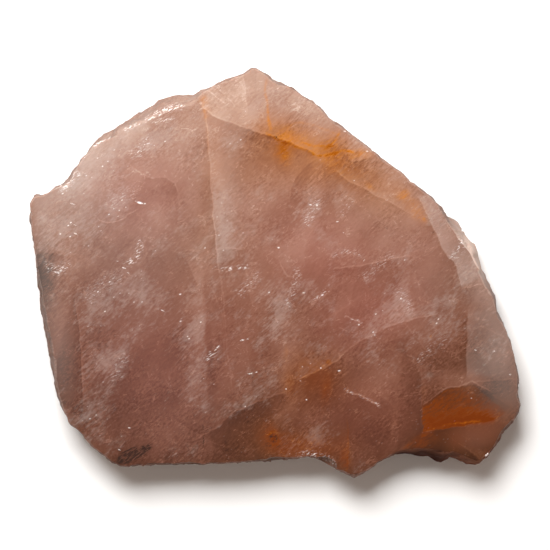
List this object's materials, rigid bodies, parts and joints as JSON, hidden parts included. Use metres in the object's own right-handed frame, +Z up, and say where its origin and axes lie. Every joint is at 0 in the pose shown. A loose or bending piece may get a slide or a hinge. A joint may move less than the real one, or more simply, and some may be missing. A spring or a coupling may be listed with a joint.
{
  "type": "rose quartz slice",
  "caption": "Flat polished slice of cloudy pink rose quartz with iron stains and a broken natural rim, lying on its sawn underside.",
  "frame": {"origin": "on the sawn underside, under the middle of the slice's bounding box", "axes": "+X along the slice's length, +Y across it towards the pointed crown, +Z up out of the polished face"},
  "size_m": [0.2004, 0.1666, 0.016],
  "materials": {
    "rose_quartz": "polished face, broken glassy rim"
  },
  "bodies": {
    "root": {"rose_quartz_slice": "rose_quartz"}
  },
  "joints": []
}
